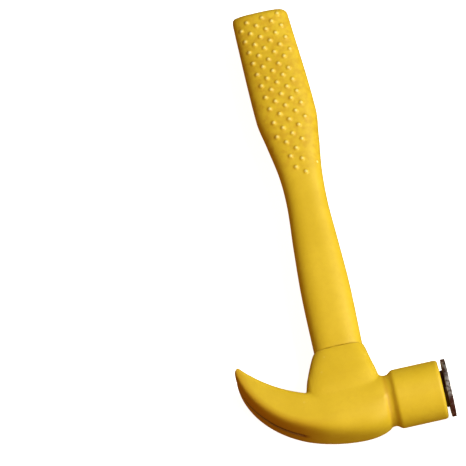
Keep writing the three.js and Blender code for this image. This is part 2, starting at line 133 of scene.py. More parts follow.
spread.inputs["From Max"].default_value = 1
room.links.new(facing.outputs["Value"], spread.inputs["Value"])
room.links.new(spread.outputs["Result"], ramp.inputs["Fac"])
room.links.new(ramp.outputs["Color"], room.nodes["Background"].inputs["Color"])
room.nodes["Background"].inputs["Strength"].default_value = 1.0
bpy.context.scene.world = world
bpy.context.scene.view_settings.view_transform = "Standard"

TABLE_HALF_WIDTH = 3.0
floor_mesh = bpy.data.meshes.new("table")
bm = bmesh.new()
bmesh.ops.create_grid(bm, x_segments=1, y_segments=1, size=TABLE_HALF_WIDTH)
bm.to_mesh(floor_mesh)
bm.free()
floor = bpy.data.objects.new("table", floor_mesh)
bpy.context.scene.collection.objects.link(floor)
paper = bpy.data.materials.new("pale_paper")
paper.use_nodes = True
paper_shader = paper.node_tree.nodes["Principled BSDF"]
paper_shader.inputs["Base Color"].default_value = (0.93, 0.93, 0.93, 1)
paper_shader.inputs["Roughness"].default_value = 0.9
paper_shader.inputs["Emission Color"].default_value = (1, 1, 1, 1)
paper_shader.inputs["Emission Strength"].default_value = 0.9
floor_mesh.materials.append(paper)
floor.visible_diffuse = False
floor.visible_glossy = False

# ---- Yellow skin of the handle -------------------------------------------------------------------
# A moulded plastic skin over the steel bar, closed at the butt: a rounded bar that narrows at the waist
# and flares into a flat grip. Low round nubs stand on both broad faces of the grip.


def smooth_line(pairs):
    """A smooth line of sizes through (place, size) pairs."""

    def slope(i):
        before = pairs[max(i - 1, 0)]
        after = pairs[min(i + 1, len(pairs) - 1)]
        return (after[1] - before[1]) / (after[0] - before[0])

    def size_at(place):
        i = 0
        while i < len(pairs) - 2 and place > pairs[i + 1][0]:
            i += 1
        span = pairs[i + 1][0] - pairs[i][0]
        t = min(max((place - pairs[i][0]) / span, 0), 1)
        return (
            (1 + 2 * t) * (1 - t) ** 2 * pairs[i][1]
            + t * (1 - t) ** 2 * span * slope(i)
            + t ** 2 * (3 - 2 * t) * pairs[i + 1][1]
            - t ** 2 * (1 - t) * span * slope(i + 1)
        )

    return size_at


def rounded_section(sides, half_width, half_thickness, squareness):
    """Evenly spaced (across, up) points round a squared oval, starting on its right side."""
    fine = 160
    quarter = []
    for i in range(fine + 1):
        angle = i / fine * math.pi / 2
        quarter.append((
            half_width * math.cos(angle) ** (2 / squareness),
            half_thickness * math.sin(angle) ** (2 / squareness),
        ))
    run = [0.0]
    for a, b in zip(quarter, quarter[1:]):
        run.append(run[-1] + math.dist(a, b))
    points = []
    steps = sides // 4
    j = 0
    for k in range(steps + 1):
        target = run[-1] * k / steps
        while j < fine - 1 and run[j + 1] < target:
            j += 1
        share = (target - run[j]) / (run[j + 1] - run[j])
        points.append(tuple(a + (b - a) * share for a, b in zip(quarter[j], quarter[j + 1])))
    top = points + [(-x, z) for x, z in points[-2::-1]]
    return top + [(x, -z) for x, z in top[-2:0:-1]]


WELD = 0.0005
TO_A_POINT = 0.0005


def lofted(rings):
    """A closed skin through rings of points that all have the same count. The first and the last ring
    shrink to a point. A flat grid is wrapped round and its edges are welded."""
    sides = len(rings[0])
    bm = bmesh.new()
    bmesh.ops.create_grid(bm, x_segments=sides, y_segments=len(rings) - 1, size=1)
    for v in bm.verts:
        side = round((v.co.x + 1) / 2 * sides) % sides
        ring = round((v.co.y + 1) / 2 * (len(rings) - 1))
        v.co = rings[ring][side]
    bmesh.ops.remove_doubles(bm, verts=bm.verts, dist=WELD)
    bmesh.ops.recalc_face_normals(bm, faces=bm.faces)
    return bm


CREASE = math.radians(50)


def finished(bm, name, material):
    """Makes a bmesh drawn in millimetres about the seam into a smooth piece in its place."""
    bmesh.ops.scale(bm, verts=bm.verts, vec=(MM, MM, MM))
    bmesh.ops.translate(bm, verts=bm.verts, vec=seam)
    mesh = bpy.data.meshes.new(name)
    bm.to_mesh(mesh)
    bm.free()
    mesh.materials.append(material)
    mesh.shade_smooth()
    mesh.set_sharp_from_angle(angle=CREASE)
    made = bpy.data.objects.new(name, mesh)
    bpy.context.scene.collection.objects.link(made)
    return made


CLEARANCE = 0.3
SOCKET_MIDDLE = 0.5
BUTT_ROUNDING = 3.4
CLAW_CORNER_SHARE = 0.4
SEAM_ROUNDING = 0.35
SQUARENESS = 2.8
handle_width = smooth_line([
    (0, 24.7), (34, 25.1), (60, 23.1), (83, 20.8), (101, 22.0), (120, 27.2), (135, 31.1),
    (handle_length, 28.6),
])
handle_thickness = smooth_line([
    (0, 17.0), (34, 17.4), (83, 15.6), (135, 16.4), (handle_length, 12.6),
])
handle_middle = smooth_line([
    (0, SOCKET_MIDDLE), (60, 1.2), (101, 1.8), (135, 1.1), (handle_length, -1.0),
])

# The nubs stand in rows across the grip, counted from the butt. Every second row is shifted by half a
# pitch, and each of the first sixteen starts a little nearer the striking side. Rows near the butt lie
# closer together, and the first of them are tilted. A few lone nubs close the lattice, given with their
# X and their distance from the butt.
NUB_RADIUS = 1.6
NUB_HEIGHT = 0.8
NUB_PITCH = 8.2
COLUMNS_EACH_WAY = 4
CLOSE_ROWS = 15
WIDE_ROWS = 5
BUTT_MARGIN = 4.9
CLOSE_ROW_STEP = 3.48
WIDE_ROW_STEP = 4.05
CLOSE_ROW_MARGIN = 4.05
WIDE_ROW_MARGIN = 5.0
FIRST_NUB_X = 0.1
ROW_DRIFT = 0.39
DRIFTING_ROWS = 16
ROW_TILT = 0.11
TILTED_ROWS = 8
LONE_NUBS = [(-11.8, 9.6), (2.4, 81.7), (-1.3, 85.5), (4.2, 88.1), (0.2, 92.1), (4.6, 95.6)]
nub_places = [(x, handle_length - from_butt) for x, from_butt in LONE_NUBS]
for row in range(CLOSE_ROWS + WIDE_ROWS + 1):
    close = min(row, CLOSE_ROWS)
    along = handle_length - BUTT_MARGIN - close * CLOSE_ROW_STEP - (row - close) * WIDE_ROW_STEP
    reach = handle_width(along) / 2 - (WIDE_ROW_MARGIN if row > CLOSE_ROWS else CLOSE_ROW_MARGIN)
    tilt = ROW_TILT * max(1 - row / TILTED_ROWS, 0)
    row_x = FIRST_NUB_X + ROW_DRIFT * min(row, DRIFTING_ROWS) + (row % 2) * NUB_PITCH / 2
    for column in range(-COLUMNS_EACH_WAY, COLUMNS_EACH_WAY + 1):
        x = row_x + column * NUB_PITCH
        if abs(x - handle_middle(along)) < reach:
            nub_places.append((x, along + tilt * x))


def nub_lift(x, y):
    """How far the skin stands up at a place on a broad face: a soft dome over each nub."""
    lift = 0
    for nub_x, nub_y in nub_places:
        away = math.hypot(x - nub_x, y - nub_y) / NUB_RADIUS
        if away < 1:
            lift = max(lift, NUB_HEIGHT * (1 - away ** 2) ** 1.5)
    return lift


HANDLE_SIDES = 208
BAR_HALF_WIDTH = 6.6
BAR_HALF_THICKNESS = 3.8
BAR_FROM_BUTT = 10
BAR_SQUARENESS = 4
BAR_END = handle_length - BAR_FROM_BUTT + CLEARANCE
NUBS_FROM = 94


def handle_ring(along, inset):
    """The outside of the skin at one place along the handle, set in where an end is rounded. The claw's
    side of the butt has a tighter corner."""
    middle = handle_middle(along)
    half_width = handle_width(along) / 2
    section = rounded_section(
        HANDLE_SIDES, half_width - inset, handle_thickness(along) / 2 - inset, SQUARENESS
    )
    claw_side = 1
    if along > handle_length - BUTT_ROUNDING:
        claw_side = (half_width - inset * CLAW_CORNER_SHARE) / (half_width - inset)
    ring = []
    for across, up in section:
        x = middle + across * (claw_side if across < 0 else 1)
        lift = nub_lift(x, along) if along > NUBS_FROM else 0
        ring.append((x, along, up + math.copysign(lift, up)))
    return ring


def bar_ring(along, share=1.0):
    """The wall of the room for the steel bar, or a smaller ring on its closed end."""
    middle = handle_middle(max(along, 0))
    section = rounded_section(
        HANDLE_SIDES, BAR_HALF_WIDTH * share, BAR_HALF_THICKNESS * share, BAR_SQUARENESS
    )
    return [(middle + across, along, up) for across, up in section]


def scaled_ring(ring, share):
    """A smaller copy of a ring on the same flat end."""
    x0 = (ring[0][0] + ring[len(ring) // 2][0]) / 2
    return [(x0 + (x - x0) * share, along, z * share) for x, along, z in ring]


# The rings run from the closed end of the room for the bar to the seam, and from there up the outside
# to the flat end of the butt.
SEAM_LIP = 1.2
BAR_STEPS = 16
SEAM_STEPS = 4
PLAIN_START = 0.5
PLAIN_END = 95.0
PLAIN_STEPS = 40
GRIP_STEP = 0.42
BUTT_STEPS = 10
BUTT_TURN = math.radians(84)
BUTT_SHARES = (0.85, 0.6, 0.3, TO_A_POINT)
rings = [bar_ring(BAR_END, TO_A_POINT), bar_ring(BAR_END, 0.6)]
rings += [bar_ring(BAR_END * (1 - i / BAR_STEPS)) for i in range(BAR_STEPS)]
start = CLEARANCE / 2
rings.append(bar_ring(start))
rings.append(handle_ring(start, SEAM_ROUNDING + SEAM_LIP))
for i in range(SEAM_STEPS + 1):
    angle = i / SEAM_STEPS * math.pi / 2
    rings.append(handle_ring(
        start + SEAM_ROUNDING * (1 - math.cos(angle)), SEAM_ROUNDING * (1 - math.sin(angle))
    ))
rings += [
    handle_ring(PLAIN_START + (PLAIN_END - PLAIN_START) * i / PLAIN_STEPS, 0)
    for i in range(1, PLAIN_STEPS + 1)
]
round_start = handle_length - BUTT_ROUNDING
grip_steps = round((round_start - PLAIN_END) / GRIP_STEP)
rings += [
    handle_ring(PLAIN_END + (round_start - PLAIN_END) * i / grip_steps, 0)
    for i in range(1, grip_steps + 1)
]
for i in range(1, BUTT_STEPS + 1):
    angle = i / BUTT_STEPS * BUTT_TURN
    rings.append(handle_ring(
        round_start + BUTT_ROUNDING * math.sin(angle), BUTT_ROUNDING * (1 - math.cos(angle))
    ))
last = rings[-1]
rings += [scaled_ring(last, share) for share in BUTT_SHARES]


def noise(tree, coordinates, scale, detail=2.0, roughness=0.5):
    """A noise texture whose scale is given in spots to the millimetre."""
    texture = tree.nodes.new("ShaderNodeTexNoise")
    texture.inputs["Scale"].default_value = scale / MM
    texture.inputs["Detail"].default_value = detail
    texture.inputs["Roughness"].default_value = roughness
    tree.links.new(coordinates, texture.inputs["Vector"])
    return texture.outputs["Fac"]


def remapped(tree, value, from_low, from_high, to_low, to_high):
    """Stretches part of a value's range onto another."""
    node = tree.nodes.new("ShaderNodeMapRange")
    for socket, number in zip(("From Min", "From Max", "To Min", "To Max"),
                              (from_low, from_high, to_low, to_high)):
        node.inputs[socket].default_value = number
    tree.links.new(value, node.inputs["Value"])
    return node.outputs["Result"]


def mixed(tree, factor, a, b):
    """Mixes two colours, each a socket or an RGB."""
    node = tree.nodes.new("ShaderNodeMix")
    node.data_type = "RGBA"
    tree.links.new(factor, node.inputs["Factor"])
    for socket, color in (("A", a), ("B", b)):
        found = [s for s in node.inputs if s.name == socket and s.type == "RGBA"][0]
        if isinstance(color, tuple):
            found.default_value = (*color, 1)
        else:
            tree.links.new(color, found)
    return [s for s in node.outputs if s.type == "RGBA"][0]


def bumped(tree, height, distance, strength, normal=None):
    """Fine relief from a height, on top of coarser relief where that is given."""
    node = tree.nodes.new("ShaderNodeBump")
    node.inputs["Strength"].default_value = strength
    node.inputs["Distance"].default_value = distance
    tree.links.new(height, node.inputs["Height"])
    if normal:
        tree.links.new(normal, node.inputs["Normal"])
    return node.outputs["Normal"]


def place_along(tree, place, axis, zero, mirrored=False):
    """Millimetres along one axis from a plane, or the distance to it on either side."""
    parts = tree.nodes.new("ShaderNodeSeparateXYZ")
    tree.links.new(place, parts.inputs["Vector"])
    away = remapped(tree, parts.outputs[axis], zero - 1, zero + 1, -1 / MM, 1 / MM)
    away.node.clamp = False
    if not mirrored:
        return away
    either_side = tree.nodes.new("ShaderNodeMath")
    either_side.operation = "ABSOLUTE"
    tree.links.new(away, either_side.inputs[0])
    return either_side.outputs["Value"]


def product(tree, a, b):
    """Two shares taken together."""
    node = tree.nodes.new("ShaderNodeMath")
    node.operation = "MULTIPLY"
    tree.links.new(a, node.inputs[0])
    tree.links.new(b, node.inputs[1])
    return node.outputs["Value"]


PALE_EDGE_FADE = 4


def yellow_plastic(name, grime_and_shade, rub_and_highlight, paler_above):
    """Satin yellow moulded plastic: pigment clouds, handling dirt and painted shade, paler edges,
    painted shade in hollows, fine grain.
    The function passed in gives this piece's stains and painted shade, each with its share and colour.
    Its convex edges and nub tops are paler, partly rubbed wear and partly painted highlight, above a
    place given in millimetres from the seam."""
    material = bpy.data.materials.new(name)
    material.use_nodes = True
    tree = material.node_tree
    shader = tree.nodes["Principled BSDF"]
    place = tree.nodes.new("ShaderNodeTexCoord").outputs["Object"]
    clouds = remapped(tree, noise(tree, place, 0.06, 3), 0.35, 0.65, 0, 1)
    patches = remapped(tree, noise(tree, place, 0.35, 3, 0.6), 0.42, 0.7, 0, 1)
    specks = remapped(tree, noise(tree, place, 2.2, 2, 0.6), 0.55, 0.75, 0, 1)
    color = mixed(tree, clouds, (0.70, 0.472, 0.013), (0.755, 0.520, 0.020))
    color = mixed(tree, remapped(tree, patches, 0, 1, 0, 0.3), color, (0.66, 0.42, 0.010))
    color = mixed(tree, remapped(tree, specks, 0, 1, 0, 0.2), color, (0.56, 0.33, 0.010))
    # Stains and painted shade of this piece.
    for share, stain_and_shade in grime_and_shade(tree, place):
        color = mixed(tree, share, color, stain_and_shade)
    edge = tree.nodes.new("ShaderNodeNewGeometry").outputs["Pointiness"]
    # Paler convex edges and nub tops: partly rubbed wear, partly painted highlight.
    raised_rub_and_highlight = remapped(tree, edge, 0.514, 0.550, 0, rub_and_highlight)
    above_pale_line = place_along(tree, place, "Y", seam.y)
    above_pale_line = remapped(tree, above_pale_line, paler_above, paler_above + PALE_EDGE_FADE, 0, 1)
    color = mixed(tree, product(tree, raised_rub_and_highlight, above_pale_line), color, (0.96, 0.80, 0.24))
    # Painted shade: hollows and creases are painted darker orange-brown.
    sunk_painted_shade = remapped(tree, edge, 0.42, 0.490, 0.6, 0)
    color = mixed(tree, sunk_painted_shade, color, (0.46, 0.21, 0.008))
    tree.links.new(color, shader.inputs["Base Color"])
    tree.links.new(remapped(tree, patches, 0, 1, 0.48, 0.60), shader.inputs["Roughness"])
    grain = noise(tree, place, 1.6, 3, 0.6)
    ripple = noise(tree, place, 0.22, 2)
    normal = bumped(tree, ripple, 0.12 * MM, 0.5)
    tree.links.new(bumped(tree, grain, 0.05 * MM, 0.6, normal), shader.inputs["Normal"])
    shader.inputs["IOR"].default_value = 1.5
    shader.inputs["Specular IOR Level"].default_value = 0.4
    return material


# Ochre for grip dirt and for painted shade on the head.
OCHRE_GRIME_AND_SHADE = (0.50, 0.22, 0.002)
GRIP_RUB_AND_HIGHLIGHT = 0.85
GRIP_LOW = 92
GRIP_FULL = 112


def grip_grime(tree, place):
    """Hand dirt between the nubs of the grip, in soft blotches."""
    up_grip = remapped(tree, place_along(tree, place, "Y", seam.y), GRIP_LOW, GRIP_FULL, 0, 1)
    blotches = remapped(tree, noise(tree, place, 0.30, 2, 0.5), 0.42, 0.64, 0, 0.32)
    return [(product(tree, up_grip, blotches), OCHRE_GRIME_AND_SHADE)]


handle_yellow = yellow_plastic("yellow_skin_handle", grip_grime, GRIP_RUB_AND_HIGHLIGHT, GRIP_LOW)
handle_skin = finished(lofted(rings), "handle_skin", handle_yellow)
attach(handle_skin, "root")
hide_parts("handle_jacket")

# ---- Yellow skin of the head ---------------------------------------------------------------------
# The same plastic moulded over the forging: a split claw that curves into full cheeks, a socket with
# a crisp rim under the handle, and a round poll behind a shallow neck. One moulding, so its parts
# flow into each other with small fillets.


def bezier(points, t):
    """A point on a curve of four control points."""
    s = 1 - t
    weights = (s ** 3, 3 * s * s * t, 3 * s * t * t, t ** 3)
    return Vector([sum(w * p[i] for w, p in zip(weights, points)) for i in (0, 1)])


CLAW_SHARE = 0.6
INNER_CLAW = [(-50.3, -0.8), (-44.5, -6.8), (-34.6, -16.0), (-20.2, -21.2)]
INNER_CHEEK = [(-20.2, -21.2), (-12, -24.2), (6, -19), (17.8, -18.6)]
OUTER_CLAW = [(-52.9, -3.0), (-52.1, -19.9), (-39.8, -32.9), (-27.0, -39.6)]
OUTER_CHEEK = [(-27.0, -39.6), (-14.9, -46.0), (8.4, -51.86), (17.8, -45.4)]
CHEEK_THICKNESS = 27.2
head_thickness = smooth_line([
    (0, 23.6), (CLAW_SHARE, 25.2), (0.85, CHEEK_THICKNESS), (1, CHEEK_THICKNESS),
])
head_squareness = smooth_line([(0, 5.0), (CLAW_SHARE, 4.6), (0.8, 3.0), (1, 2.2)])
HEAD_SIDES = 96


def outline(claw, cheek, t):
    """A point of a side line that runs along the claw and then over the cheek."""
    if t <= CLAW_SHARE:
        return bezier(claw, t / CLAW_SHARE)
    return bezier(cheek, (t - CLAW_SHARE) / (1 - CLAW_SHARE))


def claw_ring(t, share=1.0):
    """The outside of the claw or cheek, square to its own run."""
    inner = outline(INNER_CLAW, INNER_CHEEK, t)
    outer = outline(OUTER_CLAW, OUTER_CHEEK, t)
    middle = (inner + outer) / 2
    half = (outer - inner) / 2
    section = rounded_section(HEAD_SIDES, half.length, head_thickness(t) / 2, head_squareness(t))
    across = half.normalized()
    return [(*(middle + across * (a * share)), up * share) for a, up in section]


CLAW_STEPS = 90
claw_rings = [claw_ring(0, TO_A_POINT), claw_ring(0, 0.5)]
claw_rings += [claw_ring(i / CLAW_STEPS) for i in range(CLAW_STEPS + 1)]
claw_rings += [claw_ring(1, 0.5), claw_ring(1, TO_A_POINT)]

SOCKET_DEPTH = 38
SOCKET_STEPS = 48
RIM_HALF_WIDTH = 12.95
socket_left = smooth_line([
    (0, SOCKET_MIDDLE - RIM_HALF_WIDTH), (2.5, -13.8), (10, -16.8), (18, -19.4), (26, -20.2),
    (SOCKET_DEPTH, -12),
])
socket_right = smooth_line([
    (0, SOCKET_MIDDLE + RIM_HALF_WIDTH), (2.5, 14.0), (10, 15.4), (18, 17.0), (26, 17.5),
    (SOCKET_DEPTH, 14),
])
socket_thickness = smooth_line([
    (0, 18.4), (2.5, 19.4), (10, 22.4), (18, 24.8), (26, 25.2), (SOCKET_DEPTH, 20),
])
socket_squareness = smooth_line([
    (0, 3.6), (2.5, 4.0), (10, 5.0), (18, 5.6), (26, 5.0), (SOCKET_DEPTH, 4.0),
])


def socket_ring(down, share=1.0):
    """The outside of the socket at one depth under its rim."""
    left, right_side = socket_left(down), socket_right(down)
    section = rounded_section(
        HEAD_SIDES, (right_side - left) / 2, socket_thickness(down) / 2, socket_squareness(down)
    )
    middle = (left + right_side) / 2
    return [(middle + a * share, -CLEARANCE / 2 - down, up * share) for a, up in section]


socket_rings = [socket_ring(0, TO_A_POINT), socket_ring(0, 0.6)]
socket_rings += [socket_ring(SOCKET_DEPTH * (i / SOCKET_STEPS)) for i in range(SOCKET_STEPS + 1)]
socket_rings += [socket_ring(SOCKET_DEPTH, 0.6), socket_ring(SOCKET_DEPTH, TO_A_POINT)]


def eased(x0, r0, x1, r1, steps=12):
    """A soft S between two (x, radius) points of a turned profile."""
    line = []
    for i in range(steps + 1):
        share = i / steps
        line.append((x0 + (x1 - x0) * share, r0 + (r1 - r0) * (1 - math.cos(math.pi * share)) / 2))
    return line


def quarter_round(x, radius, rounding, steps=6):
    """A rounded corner between a turned side and the flat end at x."""
    return [
        (
            x - rounding * (1 - math.sin(i / steps * math.pi / 2)),
            radius - rounding * (1 - math.cos(i / steps * math.pi / 2)),
        )
        for i in range(steps + 1)
    ]


def spun(profile, steps, closed=False):
    """Turns an (x, radius) profile about the poll's axis. It starts and ends on the axis, or it is
    closed on itself, stays off the axis and gives a ring."""
    bm = bmesh.new()
    line = [bm.verts.new((x, axis_y, radius)) for x, radius in profile]
    nexts = line[1:] + line[:1] if closed else line[1:]
    edges = [bm.edges.new(pair) for pair in zip(line, nexts)]
    bmesh.ops.spin(
        bm, geom=line + edges, cent=(0, axis_y, 0), axis=(1, 0, 0), angle=2 * math.pi, steps=steps,
        use_merge=True,
    )
    bmesh.ops.remove_doubles(bm, verts=bm.verts, dist=WELD)
    bmesh.ops.recalc_face_normals(bm, faces=bm.faces)
    return bm


# The neck and poll are turned. The neck starts inside the cheeks, runs down to a short groove and
# rises again to the poll.
poll_face = (head_high.x - seam.x) / MM
NECK_RADIUS = 13.0
NECK_INNER_END = 2
CHEEK_INSET = 0.2
GROOVE_FALLS_FROM = 16.6
GROOVE_START = 19.9
GROOVE_END = 20.3
POLL_START = 24.0
POLL_RADIUS = 14.95
POLL_ROUNDING = 1.5
neck_profile = [(NECK_INNER_END, 0), (NECK_INNER_END, NECK_RADIUS)]
neck_profile += eased(
    GROOVE_FALLS_FROM, CHEEK_THICKNESS / 2 - CHEEK_INSET, GROOVE_START, NECK_RADIUS
)
neck_profile += eased(GROOVE_END, NECK_RADIUS, POLL_START, POLL_RADIUS)
neck_profile += quarter_round(poll_face, POLL_RADIUS, POLL_ROUNDING)
neck_profile += [(poll_face, 0)]


def solid_mesh(bm, name):
    """Keeps a bmesh as a loose object, to be joined into or cut from another."""
    mesh = bpy.data.meshes.new(name)
    bm.to_mesh(mesh)
    bm.free()
    made = bpy.data.objects.new(name, mesh)
    bpy.context.scene.collection.objects.link(made)
    return made


def with_modifier(obj, kind, **settings):
    """Puts one modifier on a piece and applies it."""
    modifier = obj.modifiers.new(kind.lower(), kind)
    for name, value in settings.items():
        setattr(modifier, name, value)
    evaluated = obj.evaluated_get(bpy.context.evaluated_depsgraph_get())
    mesh = bpy.data.meshes.new_from_object(evaluated)
    obj.modifiers.clear()
    old = obj.data
    obj.data = mesh
    bpy.data.meshes.remove(old)


# The slot that splits the claw is cut by a wedge that ends past the tips.
SLOT_ROOT_X = -25.0
SLOT_ROOT_HALF = 0.8
WEDGE_END_X = -60.0
WEDGE_END_HALF = 1.8
WEDGE_HALF_LENGTH = 60
slot = bmesh.new()
bmesh.ops.create_cube(slot, size=2)
for v in slot.verts:
    at_root = v.co.x > 0
    v.co.x = SLOT_ROOT_X if at_root else WEDGE_END_X
    v.co.y *= WEDGE_HALF_LENGTH
    v.co.z *= SLOT_ROOT_HALF if at_root else WEDGE_END_HALF
slot_cutter = solid_mesh(slot, "slot_cutter")

whole = bmesh.new()
for shape in (lofted(claw_rings), lofted(socket_rings), spun(neck_profile, HEAD_SIDES)):
    loose = bpy.data.meshes.new("loose")
    shape.to_mesh(loose)
    shape.free()
    whole.from_mesh(loose)
    bpy.data.meshes.remove(loose)
head = solid_mesh(whole, "head_blank")
VOXEL = 0.42
FILLET_PASSES = 3
with_modifier(head, "REMESH", mode="VOXEL", voxel_size=VOXEL)
with_modifier(head, "BOOLEAN", operation="DIFFERENCE", object=slot_cutter, solver="EXACT")
with_modifier(head, "REMESH", mode="VOXEL", voxel_size=VOXEL)
bpy.data.objects.remove(slot_cutter)
bm = bmesh.new()
bm.from_mesh(head.data)
for _ in range(FILLET_PASSES):
    bmesh.ops.smooth_vert(
        bm, verts=bm.verts, factor=0.5, use_axis_x=True, use_axis_y=True, use_axis_z=True
    )
bpy.data.objects.remove(head)

# The broad sides of the socket run into the cheeks without a crease.
SHOULDER_LEFT, SHOULDER_RIGHT = -17, 22
SHOULDER_LOW, SHOULDER_HIGH = -34, -10
BROAD_SIDE_UP = 8
SHOULDER_PASSES = 120
shoulders = [
    v for v in bm.verts
    if SHOULDER_LEFT < v.co.x < SHOULDER_RIGHT and SHOULDER_LOW < v.co.y < SHOULDER_HIGH
    and abs(v.co.z) > BROAD_SIDE_UP
]
for _ in range(SHOULDER_PASSES):
    bmesh.ops.smooth_vert(
        bm, verts=shoulders, factor=0.5, use_axis_x=False, use_axis_y=False, use_axis_z=True
    )


# The back of the claw follows an arc about this middle, given from the seam, and painted shade deepens
# from the inner radius to the outer one.
CLAW_ARC_X, CLAW_ARC_Y = -7.4, 1.75
CLAW_SHADE_START_RADIUS = 41.0
CLAW_SHADE_FULL_RADIUS = 45.5
NECK_SHADE_X = 19.2
NECK_SHADE_REACH = 2.0
SLOT_PAINTED_SHADE = (0.21, 0.045, 0.002)
HEAD_RUB_AND_HIGHLIGHT = 0.12
HEAD_PALE_EDGES_FROM = -60


def head_painted_shade(tree, place):
    """Painted shade, dark in the slot between the claws, over the back of the claw and round the neck.
    """
    off_middle = place_along(tree, place, "Z", seam.z, mirrored=True)
    # Painted shadow: the slot between the claws is painted dark red-brown.
    in_slot_painted_shade = remapped(tree, off_middle, 1.2, 2.3, 0.85, 0)
    on_claw = remapped(tree, place_along(tree, place, "X", seam.x), -22, -26, 0, 1)
    flat = tree.nodes.new("ShaderNodeVectorMath")
    flat.operation = "MULTIPLY"
    flat.inputs[1].default_value = (1, 1, 0)
    tree.links.new(place, flat.inputs[0])
    from_arc = tree.nodes.new("ShaderNodeVectorMath")
    from_arc.operation = "DISTANCE"
    from_arc.inputs[1].default_value = (seam.x + CLAW_ARC_X * MM, seam.y + CLAW_ARC_Y * MM, 0)
    tree.links.new(flat.outputs["Vector"], from_arc.inputs[0])
    # Painted shade: the back of the claw, which faces away from the lamps, is painted darker ochre.
    claw_back_painted_shade = remapped(
        tree, from_arc.outputs["Value"], CLAW_SHADE_START_RADIUS * MM, CLAW_SHADE_FULL_RADIUS * MM, 0, 0.75
    )
    near_claw = remapped(tree, place_along(tree, place, "X", seam.x), -12, -27, 0, 1)
    # Painted shade: a band round the neck groove is painted darker ochre.
    off_neck = place_along(tree, place, "X", seam.x + NECK_SHADE_X * MM, mirrored=True)
    in_neck_painted_shade = remapped(tree, off_neck, 0, NECK_SHADE_REACH, 0.42, 0)
    return [
        (product(tree, claw_back_painted_shade, near_claw), OCHRE_GRIME_AND_SHADE),
        (in_neck_painted_shade, OCHRE_GRIME_AND_SHADE),
        (product(tree, in_slot_painted_shade, on_claw), SLOT_PAINTED_SHADE),
    ]


head_yellow = yellow_plastic("yellow_skin_head", head_painted_shade, HEAD_RUB_AND_HIGHLIGHT, HEAD_PALE_EDGES_FROM)
head_skin = finished(bm, "head_skin", head_yellow)
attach(head_skin, "root")
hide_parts("head_jacket")

# ---- Striking disc -------------------------------------------------------------------------------
# A turned steel disc on the end of the poll, held off it by the spacer. It has rounded edges and a
# countersunk hole. It is worn silver in patches, stained brown and black, and redder near its rim.
screw_low, screw_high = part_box("disc_screw")
disc_back = (disc_low.x - seam.x) / MM
disc_front = (disc_high.x - seam.x) / MM
DISC_RADIUS = (disc_high.y - disc_low.y) / 2 / MM
DISC_ROUNDING = 0.32
DISC_SIDES = 160
SCREW_RECESS = 0.2
SHANK_RADIUS = 3.0
SCREW_HEAD_RADIUS = 4.8
screw_front = disc_front - SCREW_RECESS
sink_back = screw_front - (SCREW_HEAD_RADIUS - SHANK_RADIUS)


def rounded_corners(profile, rounding, steps=4):
    """Rounds every corner of a closed profile."""
    rounded = []
    for i, corner in enumerate(profile):
        here = Vector(corner)
        before = (Vector(profile[i - 1]) - here).normalized() * rounding
        after = (Vector(profile[(i + 1) % len(profile)]) - here).normalized() * rounding
        for k in range(steps + 1):
            t = k / steps
            rounded.append(tuple(here + before * (1 - t) ** 2 + after * t ** 2))
    return rounded


def worn_steel(name):
    """Bare steel, dented and marked: silver patches, brown oil stains, black pits, rubbed edges."""
    material = bpy.data.materials.new(name)
    material.use_nodes = True
    tree = material.node_tree
    shader = tree.nodes["Principled BSDF"]
    place = tree.nodes.new("ShaderNodeTexCoord").outputs["Object"]
    broad = remapped(tree, noise(tree, place, 0.16, 4, 0.6), 0.44, 0.56, 0, 1)
    patches = remapped(tree, noise(tree, place, 0.40, 3, 0.6), 0.46, 0.56, 0, 1)
    specks = remapped(tree, noise(tree, place, 1.8, 3, 0.6), 0.56, 0.70, 0, 1)
    color = mixed(tree, broad, (0.09, 0.030, 0.020), (0.48, 0.46, 0.43))
    color = mixed(tree, remapped(tree, patches, 0, 1, 0, 0.85), color, (0.045, 0.022, 0.016))
    color = mixed(tree, remapped(tree, specks, 0, 1, 0, 0.9), color, (0.02, 0.016, 0.014))
    off_axis = place_along(tree, place, "Y", seam.y + axis_y * MM, mirrored=True)
    color = mixed(tree, remapped(tree, off_axis, 9, 13, 0, 0.6), color, (0.16, 0.030, 0.018))
    edge = tree.nodes.new("ShaderNodeNewGeometry").outputs["Pointiness"]
    color = mixed(tree, remapped(tree, edge, 0.52, 0.58, 0, 0.7), color, (0.55, 0.52, 0.48))
    tree.links.new(color, shader.inputs["Base Color"])
    tree.links.new(remapped(tree, patches, 0, 1, 0.30, 0.62), shader.inputs["Roughness"])
    shader.inputs["Metallic"].default_value = 0.75
    pits = noise(tree, place, 2.4, 3, 0.6)
    dents = noise(tree, place, 0.3, 2)
    normal = bumped(tree, dents, 0.15 * MM, 0.6)
    tree.links.new(bumped(tree, pits, 0.06 * MM, 0.7, normal), shader.inputs["Normal"])
    return material


disc_profile = rounded_corners(
    [
        (disc_back, SHANK_RADIUS + CLEARANCE),
        (disc_back, DISC_RADIUS),
        (disc_front, DISC_RADIUS),
        (disc_front, SCREW_HEAD_RADIUS + CLEARANCE + SCREW_RECESS),
        (sink_back, SHANK_RADIUS + CLEARANCE),
    ],
    DISC_ROUNDING,
)
disc_shape = spun(disc_profile, DISC_SIDES, closed=True)
disc_piece = finished(disc_shape, "disc_plate", worn_steel("worn_disc_steel"))
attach(disc_piece, "root")
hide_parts("strike_disc")

# ---- Spacer behind the disc ----------------------------------------------------------------------
# A pressed red-brown fibre washer that keeps the disc off the end of the poll. It fits over the screw,
# its edges are slightly rounded, and its crown side has painted light: a lighter ochre, as if lit.
spacer_low, spacer_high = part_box("disc_spacer")
SPACER_RADIUS = (spacer_high.y - spacer_low.y) / 2 / MM
SPACER_ROUNDING = 0.2
SPACER_SIDES = 128


